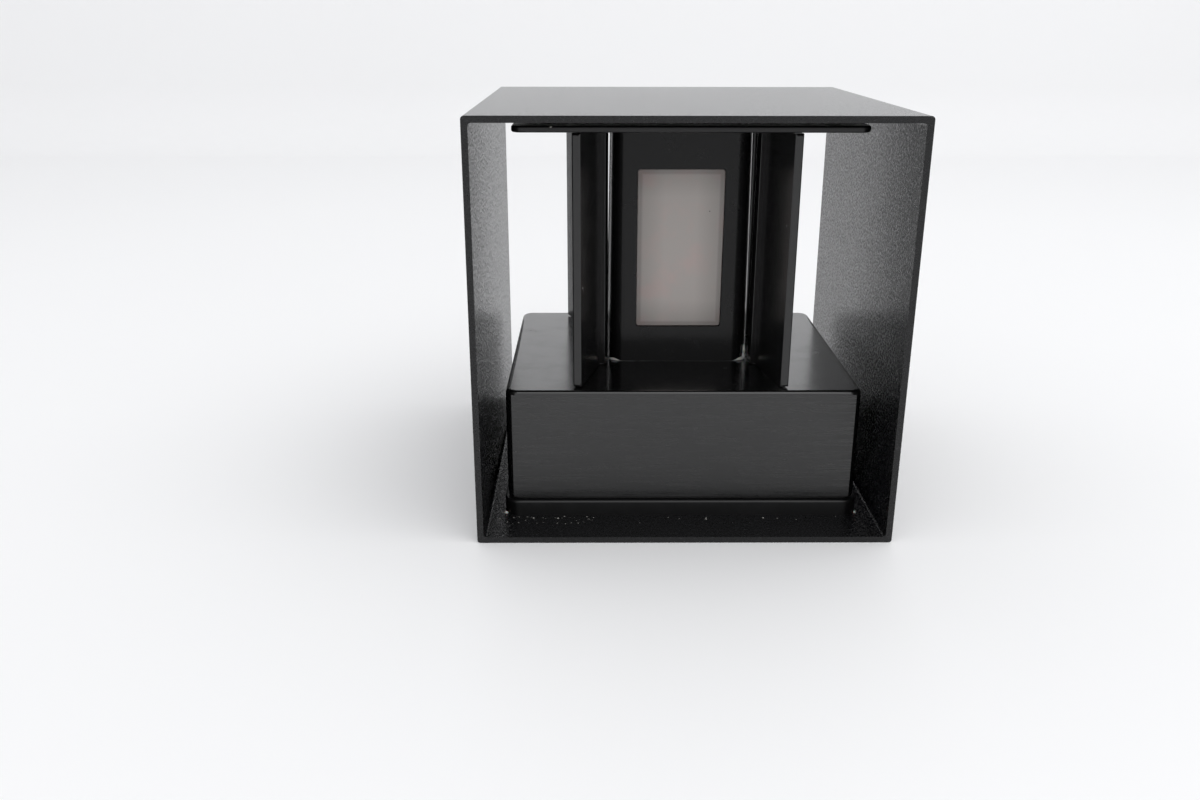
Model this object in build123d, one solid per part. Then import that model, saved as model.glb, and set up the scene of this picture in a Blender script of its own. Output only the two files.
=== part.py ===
from build123d import *
import math
import os

# Outdoor wall light that throws its beam up and down the wall. A square aluminium tube is the shell, and
# the lamp body stands inside it on the wall side. The model lies on its wall side, as on a bench: the
# origin is the middle of the wall face, +Z points away from the wall, and the light leaves along -Y, the
# front, and along +Y, the rear. Left is -X and right is +X. All sizes are in millimetres.

# Shell: one square tube, open at the two ends where the light leaves
SHELL_WIDTH = 100.0
SHELL_HEIGHT = 100.0
SHELL_DEPTH = 100.0
SHELL_WALL = 1.5
SHELL_EDGE_RADIUS = 0.8

# Driver housing: a cast box, open towards the wall, with a milled flat on its front and rear faces
HOUSING_SIDE_GAP = 5.0
HOUSING_END_RECESS = 12.8
HOUSING_HEIGHT = 28.0
HOUSING_WALL = 2.5
HOUSING_CORNER_RADIUS = 3.0
HOUSING_TOP_RADIUS = 1.2
HOUSING_INNER_RADIUS = 1.5
FLAT_DEPTH = 0.4
FLAT_TOP_MARGIN = 1.0

# Base plate and gasket that close the housing on the wall side
BASE_LIP = 0.8
BASE_THICKNESS = 4.0
BASE_EDGE_RADIUS = 0.5
GASKET_THICKNESS = 0.7
GASKET_RECESS = 0.6
GASKET_WIDTH = 1.6

# Countersunk screws that clamp shell, base plate and housing together from the wall side
BODY_SCREW_RADIUS = 1.5
BODY_SCREW_HEAD_RADIUS = 2.7
BODY_SCREW_LENGTH = 16.0
BODY_BOSS_RADIUS = 3.5
BODY_BOSS_SINK = 0.5
BODY_BOSS_HEIGHT = 14.0
SCREW_TIP_ROOM = 0.5

# Keyholes in the wall face: the light hangs on the heads of two wall screws
KEYHOLE_SPACING = 60.0
KEYHOLE_ENTRY_RADIUS = 4.25
KEYHOLE_SLOT_RADIUS = 2.25
KEYHOLE_DROP = 7.0
KEYHOLE_POCKET_DEPTH = 2.8
KEYHOLE_POCKET_MARGIN = 0.5

# Cable gland in the middle of the base plate
GLAND_BORE_RADIUS = 4.0
GLAND_CABLE_RADIUS = 3.25
GLAND_THREAD_RADIUS = 6.0
GLAND_SLEEVE_HEIGHT = 6.0
GLAND_SEAL_RADIUS = 5.0
GLAND_HEX_WIDTH = 16.0
GLAND_COLLAR_HEIGHT = 3.5
GLAND_SEAL_FLOOR = 1.5
GLAND_NUT_HEX_HEIGHT = 5.5
GLAND_NUT_ROOF = 1.4
GLAND_NUT_TOP_RADIUS = 5.4
GLAND_NUT_GAP = 0.4

# Lamp post: a cast rounded block that carries a lamp window on its front and rear faces. All four sides
# have draft, and its width and length are those at the middle of the windows
POST_WIDTH = 36.0
POST_LENGTH = 24.8
POST_DRAFT = 0.6
POST_CORNER_RADIUS = 4.2
POST_SEALANT_HEIGHT = 0.5
POST_SEALANT_SPREAD = 0.5
POST_SCREW_SPACING = 22.0
POST_SCREW_RADIUS = 2.0
POST_SCREW_HEAD_RADIUS = 3.8
POST_SCREW_HEAD_HEIGHT = 2.2
POST_SCREW_LENGTH = 11.0
LEAD_BORE_RADIUS = 2.5
LEAD_CROSS_BORE_RADIUS = 1.8

# Lamp window: frosted diffuser, its seal, and the cavity with the lamp board behind it
WINDOW_WIDTH = 22.0
WINDOW_HEIGHT = 40.4
WINDOW_RISE = 9.4
WINDOW_CORNER_RADIUS = 0.8
WINDOW_RECESS = 0.4
DIFFUSER_THICKNESS = 2.0
DIFFUSER_EDGE_RADIUS = 0.25
DIFFUSER_SKIRT_HEIGHT = 1.5
DIFFUSER_SKIRT_WALL = 1.0
WINDOW_SEAL_THICKNESS = 0.5
WINDOW_LEDGE = 1.1
POST_WEB_THICKNESS = 7.0
LAMP_BOARD_THICKNESS = 1.2
LAMP_BOARD_LOWER_ROOM = 4.0
LAMP_BOARD_UPPER_ROOM = 0.6
LAMP_BOARD_SIDE_ROOM = 0.3
THERMAL_PAD_THICKNESS = 0.4
THERMAL_PAD_MARGIN = 1.0
EMITTER_WIDTH = 11.0
EMITTER_HEIGHT = 22.0
EMITTER_BASE_THICKNESS = 0.6
EMITTER_DAM_WIDTH = 0.9
EMITTER_DAM_HEIGHT = 0.5
EMITTER_EDGE_ROOM = 0.8
PHOSPHOR_HEIGHT = 0.4
BOARD_SCREW_RADIUS = 1.25
BOARD_SCREW_HEAD_RADIUS = 2.2
BOARD_SCREW_HEAD_HEIGHT = 1.2
BOARD_SCREW_DEPTH = 2.6
BOARD_SCREW_EDGE = 2.6

# Top plate: the flat plate at the far end of the post, held by four countersunk screws
PLATE_WIDTH = 81.0
PLATE_LENGTH = 74.0
PLATE_THICKNESS = 1.5
PLATE_CORNER_RADIUS = 2.5
PLATE_EDGE_RADIUS = 0.5
PLATE_TOP_GAP = 1.8
PLATE_SCREW_RADIUS = 1.5
PLATE_SCREW_HEAD_RADIUS = 2.7
PLATE_SCREW_LENGTH = 9.0
PLATE_SCREW_INSET = 4.6

# Beam flaps: four shutters, one pair beside each light opening, each with a square hub on its own pin. The
# hub has small edges towards the blade and well rounded ones behind the pin
FLAP_LENGTH = 22.2
FLAP_THICKNESS = 2.0
FLAP_CORNER_RADIUS = 0.6
FLAP_EDGE_RADIUS = 0.3
HUB_WIDTH = 4.4
HUB_EDGE_RADIUS = 0.15
HUB_BACK_RADIUS = 1.6
HINGE_GAP = 0.43
HINGE_LEAD = 0.8
PIN_RADIUS = 1.0
PIN_HEAD_RADIUS = 1.9
PIN_SEAT_DEPTH = 5.0
PIN_BOSS_RADIUS = 2.6
PIN_BOSS_FLOOR = 1.0
WASHER_RADIUS = 2.0
LOWER_WASHER_THICKNESS = 0.3
UPPER_WASHER_THICKNESS = 0.3

# Angle of each flap from straight ahead, as the light was left
FRONT_LEFT_ANGLE = 14.0
FRONT_RIGHT_ANGLE = 10.4
REAR_LEFT_ANGLE = 22.0
REAR_RIGHT_ANGLE = 15.0

# Driver: the circuit board that feeds the lamps, between the gland and the rear wall of the housing, on
# four stand-offs of the base plate
DRIVER_WIDTH = 60.0
DRIVER_THICKNESS = 1.6
DRIVER_CORNER_RADIUS = 1.0
DRIVER_WALL_ROOM = 1.2
DRIVER_GLAND_ROOM = 2.5
COMPONENT_GAP = 1.0
STANDOFF_HEIGHT = 3.5
STANDOFF_RADIUS = 2.5
STANDOFF_INSET = 3.5
DRIVER_SCREW_RADIUS = 1.25
DRIVER_SCREW_HEAD_RADIUS = 2.2
DRIVER_SCREW_HEAD_HEIGHT = 1.4
DRIVER_SCREW_LENGTH = 6.0
INSULATOR_THICKNESS = 0.4
INSULATOR_MARGIN = 0.8
TRANSFORMER_WIDTH = 15.0
TRANSFORMER_LENGTH = 13.0
TRANSFORMER_HEIGHT = 12.0
TRANSFORMER_LIMB = 3.2
TRANSFORMER_WINDING_WALL = 2.4
CAPACITOR_RADIUS = 4.0
CAPACITOR_HEIGHT = 12.0
CAPACITOR_SPACING = 10.0
INDUCTOR_RADIUS = 4.0
INDUCTOR_CORE_RADIUS = 2.6
INDUCTOR_HEIGHT = 8.0
INDUCTOR_FLANGE = 1.4
RECTIFIER_WIDTH = 5.0
RECTIFIER_LENGTH = 6.5
RECTIFIER_HEIGHT = 2.4
FUSE_RADIUS = 2.0
FUSE_HEIGHT = 7.0

# Terminal block for the three supply conductors, behind the front wall of the housing
TERMINAL_PITCH = 7.5
TERMINAL_LENGTH = 15.0
TERMINAL_HEIGHT = 12.0
TERMINAL_COUNT = 3
TERMINAL_WALL_ROOM = 5.2
TERMINAL_WELL_RADIUS = 2.2
TERMINAL_WIRE_RADIUS = 1.7
TERMINAL_WIRE_HEIGHT = 4.2
TERMINAL_STEP = 3.0
TERMINAL_SCREW_HEIGHT = 2.6
TERMINAL_SCREW_SLOT = 0.7
TERMINAL_SCREW_SLOT_DEPTH = 0.6

# Inner leads
LEAD_RADIUS = 0.6
LEAD_PAIR_PITCH = 1.8
LEAD_PAIR_OFFSET = 7.2
LEAD_RUN_HEIGHT = 20.0
LEAD_RUN_STEP = 2.5
LEAD_PAD_LENGTH = 4.0
LEAD_PAD_MARGIN = 2.0
LEAD_BEND_RADIUS = 2.5
LEAD_TIGHT_BEND_RADIUS = 1.0
SUPPLY_LEAD_EXIT = 3.0
SUPPLY_LEAD_GLAND_ROOM = 4.4
SUPPLY_LEAD_PASS = 2.0
SUPPLY_LEAD_PAD_INSET = 9.5
SUPPLY_LEAD_BEND_RADIUS = 3.0

# Clearances
FIT = 0.05
PIN_FIT = 0.05
WASHER_FIT = 0.05
SEAT_FIT = 0.05

# Sizes that follow from the ones above
housing_width = SHELL_WIDTH - 2 * SHELL_WALL - 2 * HOUSING_SIDE_GAP
housing_length = SHELL_DEPTH - 2 * HOUSING_END_RECESS
cavity_width = housing_width - 2 * HOUSING_WALL
cavity_length = housing_length - 2 * HOUSING_WALL
base_top = SHELL_WALL + BASE_THICKNESS
housing_bottom = base_top + GASKET_THICKNESS
housing_top = housing_bottom + HOUSING_HEIGHT
housing_ceiling = housing_top - HOUSING_WALL
plate_top = SHELL_HEIGHT - SHELL_WALL - PLATE_TOP_GAP
plate_bottom = plate_top - PLATE_THICKNESS
window_bottom = housing_top + WINDOW_RISE
window_middle = window_bottom + WINDOW_HEIGHT / 2
cavity_window_width = WINDOW_WIDTH - 2 * WINDOW_LEDGE
cavity_window_height = WINDOW_HEIGHT - 2 * WINDOW_LEDGE
window_floor = window_bottom + WINDOW_LEDGE
post_face = POST_LENGTH / 2
post_flare = (window_middle - housing_top) * math.tan(math.radians(POST_DRAFT))
web_face = POST_WEB_THICKNESS / 2
hinge_x = POST_WIDTH / 2 + HINGE_GAP + HUB_WIDTH / 2
hinge_y = post_face + HINGE_LEAD
flap_bottom = housing_top + LOWER_WASHER_THICKNESS + WASHER_FIT
flap_top = plate_bottom - UPPER_WASHER_THICKNESS - WASHER_FIT
pin_seat = housing_top - PIN_SEAT_DEPTH
boss_x = cavity_width / 2 - BODY_BOSS_RADIUS + BODY_BOSS_SINK
boss_y = cavity_length / 2 - BODY_BOSS_RADIUS + BODY_BOSS_SINK
flap_angles = {
    "front_left": FRONT_LEFT_ANGLE,
    "front_right": FRONT_RIGHT_ANGLE,
    "rear_left": REAR_LEFT_ANGLE,
    "rear_right": REAR_RIGHT_ANGLE,
}
driver_front = GLAND_HEX_WIDTH / 2 + DRIVER_GLAND_ROOM
driver_length = cavity_length / 2 - DRIVER_WALL_ROOM - driver_front
driver_y = driver_front + driver_length / 2
small_parts_x = -TRANSFORMER_WIDTH / 2 - 2 * (COMPONENT_GAP + INDUCTOR_RADIUS) - RECTIFIER_WIDTH / 2
driver_bottom = base_top + STANDOFF_HEIGHT
driver_top = driver_bottom + DRIVER_THICKNESS
lamp_board_bottom = window_floor + LAMP_BOARD_LOWER_ROOM
lamp_board_height = cavity_window_height - LAMP_BOARD_LOWER_ROOM - LAMP_BOARD_UPPER_ROOM
lamp_board_width = cavity_window_width - 2 * LAMP_BOARD_SIDE_ROOM
lamp_board_middle = lamp_board_bottom + lamp_board_height / 2
lamp_board_back = web_face + THERMAL_PAD_THICKNESS
lamp_board_face = lamp_board_back + LAMP_BOARD_THICKNESS
cross_bore_height = window_floor + LAMP_BOARD_LOWER_ROOM / 2
terminal_width = TERMINAL_PITCH * TERMINAL_COUNT
terminal_y = TERMINAL_WALL_ROOM + TERMINAL_LENGTH / 2 - cavity_length / 2
gland_collar_top = base_top + GLAND_COLLAR_HEIGHT
gland_sleeve_top = gland_collar_top + GLAND_SLEEVE_HEIGHT
gland_nut_bottom = gland_collar_top + GLAND_NUT_GAP


# Shapes used more than once
def rounded_block(width, length, radius, bottom, top):
    """Upright block about the Z axis with its four standing edges rounded."""
    return Pos(0, 0, bottom) * extrude(RectangleRounded(width, length, radius), top - bottom)


def upright(radius, bottom, top, x=0.0, y=0.0):
    """Round bar or drill that stands at x, y."""
    return Pos(x, y, bottom) * extrude(Circle(radius), top - bottom)


def turned(points):
    """Solid turned about the Z axis from its half outline, given as radius and height."""
    outline = make_face(Polyline(*points, close=True))
    return revolve(Plane.XZ * outline, axis=Axis.Z)


def sunk_in_front(outline, face, depth, middle):
    """Upright outline that starts at a distance face in front of the Z axis and goes back by depth."""
    return Pos(0, -face, middle) * extrude(Plane.XZ * outline, -depth)


def half_turn(shape):
    """The same shape turned to the rear side."""
    return Rot(0, 0, 180) * shape


def corners(x, y):
    """The four places at plus and minus x and y."""
    return [(-x, -y), (x, -y), (-x, y), (x, y)]


def group(solids):
    """Separate solids that share one node."""
    return Compound(children=list(solids))


def countersunk_screw(shank, head, length):
    """Screw with its head face at Z zero, its shank along +Z and a cross recess."""
    cone = head - shank
    profile = [(0, 0), (head, 0), (shank, cone)]
    profile += [(shank, length - shank / 2), (shank / 2, length), (0, length)]
    body = turned(profile)
    slot_length = head * 1.1
    slot_width = head * 0.28
    slot = extrude(Rectangle(slot_length, slot_width) + Rectangle(slot_width, slot_length), cone * 0.7)
    return body - slot


def countersunk_hole(shank, head, depth):
    """Room for a countersunk screw whose head face is at Z zero, with a clearance all round."""
    cone = head - shank
    reach = head + FIT
    bore = shank + FIT
    return turned([(0, -FIT), (reach, -FIT), (reach, 0), (bore, cone), (bore, depth), (0, depth)])


def pan_screw(shank, head, head_height, length):
    """Screw whose head seats at Z zero and stands below it, with its shank along +Z."""
    crown = head * 0.7
    profile = [(0, -head_height), (crown, -head_height), (head, -head_height * 0.45), (head, 0)]
    profile += [(shank, 0), (shank, length - shank / 2), (shank / 2, length), (0, length)]
    return turned(profile)


def lead(points, radii):
    """Insulated wire along straight runs joined by arcs."""
    path = FilletPolyline(*points, radius=radii)
    section = Plane(origin=path @ 0, z_dir=path % 0) * RegularPolygon(LEAD_RADIUS, 8)
    return sweep(section, path=path)


# Shell
def make_outer_shell():
    tube = RectangleRounded(SHELL_WIDTH, SHELL_HEIGHT, SHELL_EDGE_RADIUS)
    bore_width = SHELL_WIDTH - 2 * SHELL_WALL
    bore_height = SHELL_HEIGHT - 2 * SHELL_WALL
    tube -= RectangleRounded(bore_width, bore_height, SHELL_EDGE_RADIUS)
    shell = Pos(0, SHELL_DEPTH / 2, SHELL_HEIGHT / 2) * extrude(Plane.XZ * tube, SHELL_DEPTH)
    screw_room = countersunk_hole(BODY_SCREW_RADIUS, BODY_SCREW_HEAD_RADIUS, SHELL_WALL + 1)
    for x, y in corners(boss_x, boss_y):
        shell -= Pos(x, y, FIT) * screw_room
    shell -= upright(GLAND_THREAD_RADIUS + FIT, -1, SHELL_WALL + 1)
    for side in (-1, 1):
        entry = Pos(0, -KEYHOLE_DROP / 2) * Circle(KEYHOLE_ENTRY_RADIUS)
        slot = Rot(0, 0, 90) * SlotCenterToCenter(KEYHOLE_DROP, 2 * KEYHOLE_SLOT_RADIUS)
        shell -= Pos(side * KEYHOLE_SPACING / 2, 0, -1) * extrude(entry + slot, SHELL_WALL + 2)
    return shell


def make_body_screws():
    screw = countersunk_screw(BODY_SCREW_RADIUS, BODY_SCREW_HEAD_RADIUS, BODY_SCREW_LENGTH)
    return group(Pos(x, y, FIT) * screw for x, y in corners(boss_x, boss_y))


# Base plate with stand-offs for the driver board and pockets for the heads of the wall screws
def standoff_places():
    across = DRIVER_WIDTH / 2 - STANDOFF_INSET
    along = driver_length / 2 - STANDOFF_INSET
    return [(x, driver_y + y) for x, y in corners(across, along)]


def make_base_plate():
    width = housing_width + 2 * BASE_LIP
    length = housing_length + 2 * BASE_LIP
    plate = rounded_block(width, length, HOUSING_CORNER_RADIUS + BASE_LIP, SHELL_WALL, base_top)
    rim = plate.faces().sort_by(Axis.Z)[-1].edges()
    plate = fillet(rim, BASE_EDGE_RADIUS)
    screw_base = driver_top - DRIVER_SCREW_LENGTH - SCREW_TIP_ROOM
    for x, y in standoff_places():
        plate += upright(STANDOFF_RADIUS, base_top, driver_bottom, x, y)
        plate -= upright(DRIVER_SCREW_RADIUS + FIT, screw_base, driver_bottom + 1, x, y)
    for x, y in corners(boss_x, boss_y):
        plate -= upright(BODY_SCREW_RADIUS + FIT, SHELL_WALL - 1, base_top + 1, x, y)
    plate -= upright(GLAND_THREAD_RADIUS + FIT, SHELL_WALL - 1, base_top + 1)
    pocket_width = 2 * (KEYHOLE_ENTRY_RADIUS + KEYHOLE_POCKET_MARGIN)
    pocket = Rot(0, 0, 90) * SlotCenterToCenter(KEYHOLE_DROP, pocket_width)
    for side in (-1, 1):
        place = Pos(side * KEYHOLE_SPACING / 2, 0, SHELL_WALL)
        plate -= place * extrude(pocket, KEYHOLE_POCKET_DEPTH)
    return plate


def make_housing_gasket():
    outer_width = housing_width - 2 * GASKET_RECESS
    outer_length = housing_length - 2 * FLAT_DEPTH - 2 * GASKET_RECESS
    ring = RectangleRounded(outer_width, outer_length, HOUSING_CORNER_RADIUS - GASKET_RECESS)
    inner_width = outer_width - 2 * GASKET_WIDTH
    inner_length = outer_length - 2 * GASKET_WIDTH
    ring -= RectangleRounded(inner_width, inner_length, HOUSING_INNER_RADIUS)
    gasket = Pos(0, 0, base_top) * extrude(ring, GASKET_THICKNESS)
    for x, y in corners(boss_x, boss_y):
        gasket -= upright(BODY_BOSS_RADIUS + FIT, base_top - 1, housing_bottom + 1, x, y)
    return gasket


# Driver housing
def make_driver_housing():
    box = rounded_block(housing_width, housing_length, HOUSING_CORNER_RADIUS, housing_bottom, housing_top)
    box = fillet(box.faces().sort_by(Axis.Z)[-1].edges(), HOUSING_TOP_RADIUS)
    inside = rounded_block(cavity_width, cavity_length, HOUSING_INNER_RADIUS, base_top, housing_ceiling)
    box -= inside
    for x, y in corners(boss_x, boss_y):
        box += upright(BODY_BOSS_RADIUS, base_top, base_top + BODY_BOSS_HEIGHT, x, y)
        tip = FIT + BODY_SCREW_LENGTH + SCREW_TIP_ROOM
        box -= upright(BODY_SCREW_RADIUS + FIT, base_top - 1, tip, x, y)
    for x, y in corners(hinge_x, hinge_y):
        box += upright(PIN_BOSS_RADIUS, pin_seat - PIN_BOSS_FLOOR, housing_ceiling + FIT, x, y)
        box -= upright(PIN_RADIUS + FIT, pin_seat, housing_top + 1, x, y)
    screw_room = upright(POST_SCREW_RADIUS + FIT, housing_ceiling - 1, housing_top + 1)
    for side in (-1, 1):
        box -= Pos(side * POST_SCREW_SPACING / 2, 0, 0) * screw_room
    box -= upright(LEAD_BORE_RADIUS, housing_ceiling - 1, housing_top + 1)
    flat_top = housing_top - FLAT_TOP_MARGIN
    mill = Box(housing_width + 2, 2 * FLAT_DEPTH, flat_top - base_top)
    for side in (-1, 1):
        box -= Pos(0, side * housing_length / 2, (base_top + flat_top) / 2) * mill
    return box


# Cable gland
def hexagon(height, bottom):
    return Pos(0, 0, bottom) * extrude(RegularPolygon(GLAND_HEX_WIDTH / 2, 6, major_radius=False), height)


def make_gland_body():
    sleeve = turned([
        (GLAND_BORE_RADIUS, FIT),
        (GLAND_THREAD_RADIUS, FIT),
        (GLAND_THREAD_RADIUS, gland_sleeve_top),
        (GLAND_SEAL_RADIUS + FIT, gland_sleeve_top),
        (GLAND_SEAL_RADIUS + FIT, gland_collar_top + GLAND_SEAL_FLOOR),
        (GLAND_BORE_RADIUS, gland_collar_top + GLAND_SEAL_FLOOR),
    ])
    collar = hexagon(GLAND_COLLAR_HEIGHT, base_top)
    collar -= upright(GLAND_BORE_RADIUS, base_top - 1, gland_collar_top + 1)
    return sleeve + collar


def make_gland_seal():
    bottom = gland_collar_top + GLAND_SEAL_FLOOR
    seal = upright(GLAND_SEAL_RADIUS, bottom, gland_sleeve_top)
    return seal - upright(GLAND_CABLE_RADIUS, bottom - 1, gland_sleeve_top + 1)


def make_gland_nut():
    inner = GLAND_THREAD_RADIUS + FIT
    roof = gland_sleeve_top + FIT
    shoulder = gland_nut_bottom + GLAND_NUT_HEX_HEIGHT
    top = roof + GLAND_NUT_ROOF
    reach = GLAND_HEX_WIDTH
    envelope = turned([
        (0, gland_nut_bottom),
        (reach, gland_nut_bottom),
        (reach, shoulder - reach / 2),
        (GLAND_HEX_WIDTH / 2, shoulder),
        (GLAND_NUT_TOP_RADIUS, top),
        (0, top),
    ])
    nut = hexagon(top - gland_nut_bottom, gland_nut_bottom) & envelope
    nut -= upright(inner, gland_nut_bottom - 1, roof)
    return nut - upright(GLAND_BORE_RADIUS, roof - 1, top + 1)


# Lamp post
def post_foot(spread):
    """Outline of the post where it meets the housing, widened all round."""
    grown = post_flare + spread
    return RectangleRounded(POST_WIDTH + 2 * grown, POST_LENGTH + 2 * grown, POST_CORNER_RADIUS + grown)


def post_block():
    return Pos(0, 0, housing_top) * extrude(post_foot(0), plate_bottom - housing_top, taper=POST_DRAFT)


def make_led_post():
    post = post_block()
    rebate_depth = WINDOW_RECESS + DIFFUSER_THICKNESS + WINDOW_SEAL_THICKNESS
    rebate = RectangleRounded(WINDOW_WIDTH, WINDOW_HEIGHT, WINDOW_CORNER_RADIUS)
    cavity = RectangleRounded(cavity_window_width, cavity_window_height, WINDOW_CORNER_RADIUS)
    opening = sunk_in_front(rebate, post_face + 1, rebate_depth + 1, window_middle)
    opening += sunk_in_front(cavity, post_face, post_face - web_face, window_middle)
    for x, z in lamp_screw_places():
        hole = sunk_in_front(Circle(BOARD_SCREW_RADIUS + FIT), web_face + 1, BOARD_SCREW_DEPTH + 1, z)
        opening += Pos(x, 0, 0) * hole
    post -= opening
    post -= half_turn(opening)
    post -= upright(LEAD_BORE_RADIUS, housing_top - 1, cross_bore_height + LEAD_BORE_RADIUS)
    cross_bore = Circle(LEAD_CROSS_BORE_RADIUS)
    post -= sunk_in_front(cross_bore, web_face + 1, POST_WEB_THICKNESS + 2, cross_bore_height)
    for side in (-1, 1):
        tip = housing_ceiling + POST_SCREW_LENGTH + SCREW_TIP_ROOM
        post -= upright(POST_SCREW_RADIUS + FIT, housing_top - 1, tip, side * POST_SCREW_SPACING / 2)
    for x, y in plate_screw_places():
        tip = plate_top - PLATE_SCREW_LENGTH - SCREW_TIP_ROOM
        post -= upright(PLATE_SCREW_RADIUS + FIT, tip, plate_bottom + 1, x, y)
    return post


def make_post_screws():
    screw = pan_screw(POST_SCREW_RADIUS, POST_SCREW_HEAD_RADIUS, POST_SCREW_HEAD_HEIGHT, POST_SCREW_LENGTH)
    return group(Pos(side * POST_SCREW_SPACING / 2, 0, housing_ceiling) * screw for side in (-1, 1))


def make_post_sealant():
    bead = extrude(post_foot(POST_SEALANT_SPREAD), POST_SEALANT_HEIGHT, taper=35)
    return Pos(0, 0, housing_top) * bead - post_block()


# Lamp window parts, made for the front and turned for the rear
def lamp_screw_places():
    across = lamp_board_width / 2 - BOARD_SCREW_EDGE
    up = lamp_board_height / 2 - BOARD_SCREW_EDGE
    return [(-across, lamp_board_middle + up), (across, lamp_board_middle - up)]


def make_diffuser():
    face = post_face - WINDOW_RECESS
    width = WINDOW_WIDTH - 2 * SEAT_FIT
    height = WINDOW_HEIGHT - 2 * SEAT_FIT
    pane = RectangleRounded(width, height, WINDOW_CORNER_RADIUS)
    pane = sunk_in_front(pane, face, DIFFUSER_THICKNESS, window_middle)
    pane = fillet(pane.faces().sort_by(Axis.Y)[0].edges(), DIFFUSER_EDGE_RADIUS)
    skirt_width = cavity_window_width - 4 * SEAT_FIT
    skirt_height = cavity_window_height - 4 * SEAT_FIT
    skirt = RectangleRounded(skirt_width, skirt_height, WINDOW_CORNER_RADIUS)
    skirt -= Rectangle(skirt_width - 2 * DIFFUSER_SKIRT_WALL, skirt_height - 2 * DIFFUSER_SKIRT_WALL)
    return pane + sunk_in_front(skirt, face - DIFFUSER_THICKNESS, DIFFUSER_SKIRT_HEIGHT, window_middle)


def make_diffuser_seal():
    face = post_face - WINDOW_RECESS - DIFFUSER_THICKNESS
    ring = RectangleRounded(WINDOW_WIDTH - 2 * SEAT_FIT, WINDOW_HEIGHT - 2 * SEAT_FIT, WINDOW_CORNER_RADIUS)
    ring -= RectangleRounded(cavity_window_width, cavity_window_height, WINDOW_CORNER_RADIUS)
    return sunk_in_front(ring, face, WINDOW_SEAL_THICKNESS, window_middle)


def make_led_board():
    board = RectangleRounded(lamp_board_width, lamp_board_height, WINDOW_CORNER_RADIUS)
    for x, z in lamp_screw_places():
        board -= Pos(x, z - lamp_board_middle) * Circle(BOARD_SCREW_RADIUS + FIT)
    return sunk_in_front(board, lamp_board_face, LAMP_BOARD_THICKNESS, lamp_board_middle)


def make_thermal_pad():
    width = lamp_board_width - 2 * THERMAL_PAD_MARGIN
    height = lamp_board_height - 2 * THERMAL_PAD_MARGIN
    pad = RectangleRounded(width, height, WINDOW_CORNER_RADIUS)
    for x, z in lamp_screw_places():
        pad -= Pos(x, z - lamp_board_middle) * Circle(BOARD_SCREW_HEAD_RADIUS)
    return sunk_in_front(pad, lamp_board_back, THERMAL_PAD_THICKNESS, lamp_board_middle)


def emitter_outline(inset):
    width = EMITTER_WIDTH - 2 * inset
    height = EMITTER_HEIGHT - 2 * inset
    return SlotOverall(height, width, rotation=90)


def make_led_emitter():
    width = EMITTER_WIDTH + 2 * EMITTER_EDGE_ROOM
    height = EMITTER_HEIGHT + 2 * EMITTER_EDGE_ROOM
    face = lamp_board_face + EMITTER_BASE_THICKNESS
    base = sunk_in_front(Rectangle(width, height), face, EMITTER_BASE_THICKNESS, lamp_board_middle)
    dam = emitter_outline(0) - emitter_outline(EMITTER_DAM_WIDTH)
    return base + sunk_in_front(dam, face + EMITTER_DAM_HEIGHT, EMITTER_DAM_HEIGHT, lamp_board_middle)


def make_led_phosphor():
    face = lamp_board_face + EMITTER_BASE_THICKNESS + PHOSPHOR_HEIGHT
    return sunk_in_front(emitter_outline(EMITTER_DAM_WIDTH), face, PHOSPHOR_HEIGHT, lamp_board_middle)


def make_lamp_board_screws():
    length = lamp_board_face - web_face + BOARD_SCREW_DEPTH - SCREW_TIP_ROOM
    screw = pan_screw(BOARD_SCREW_RADIUS, BOARD_SCREW_HEAD_RADIUS, BOARD_SCREW_HEAD_HEIGHT, length)
    front = [Pos(x, -lamp_board_face, z) * Rot(-90, 0, 0) * screw for x, z in lamp_screw_places()]
    return group(front + [half_turn(screw) for screw in front])


# Top plate
def plate_screw_places():
    return corners(POST_WIDTH / 2 - PLATE_SCREW_INSET, POST_LENGTH / 2 - PLATE_SCREW_INSET)


def make_top_plate():
    plate = rounded_block(PLATE_WIDTH, PLATE_LENGTH, PLATE_CORNER_RADIUS, plate_bottom, plate_top)
    plate = fillet(plate.edges().filter_by(Plane.XY), PLATE_EDGE_RADIUS)
    upside_down = Rot(180, 0, 0)
    sink = countersunk_hole(PLATE_SCREW_RADIUS, PLATE_SCREW_HEAD_RADIUS, PLATE_THICKNESS + 1)
    for x, y in plate_screw_places():
        plate -= Pos(x, y, plate_top - FIT) * upside_down * sink
    sink = countersunk_hole(PIN_RADIUS, PIN_HEAD_RADIUS, PLATE_THICKNESS + 1)
    for x, y in corners(hinge_x, hinge_y):
        plate -= Pos(x, y, plate_top - FIT) * upside_down * sink
    return plate


def make_top_plate_screws():
    screw = countersunk_screw(PLATE_SCREW_RADIUS, PLATE_SCREW_HEAD_RADIUS, PLATE_SCREW_LENGTH)
    upside_down = Rot(180, 0, 0)
    return group(Pos(x, y, plate_top - FIT) * upside_down * screw for x, y in plate_screw_places())


# Flaps, their pins and washers
def hinge_sides(name):
    """Signs of X and Y for a flap: left or right, front or rear."""
    return (-1 if "left" in name else 1, -1 if "front" in name else 1)


def flap_direction(name):
    """Compass angle of a flap in the plan, in degrees from +X."""
    side_x, side_y = hinge_sides(name)
    return side_y * 90 - side_x * side_y * flap_angles[name]


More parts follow.
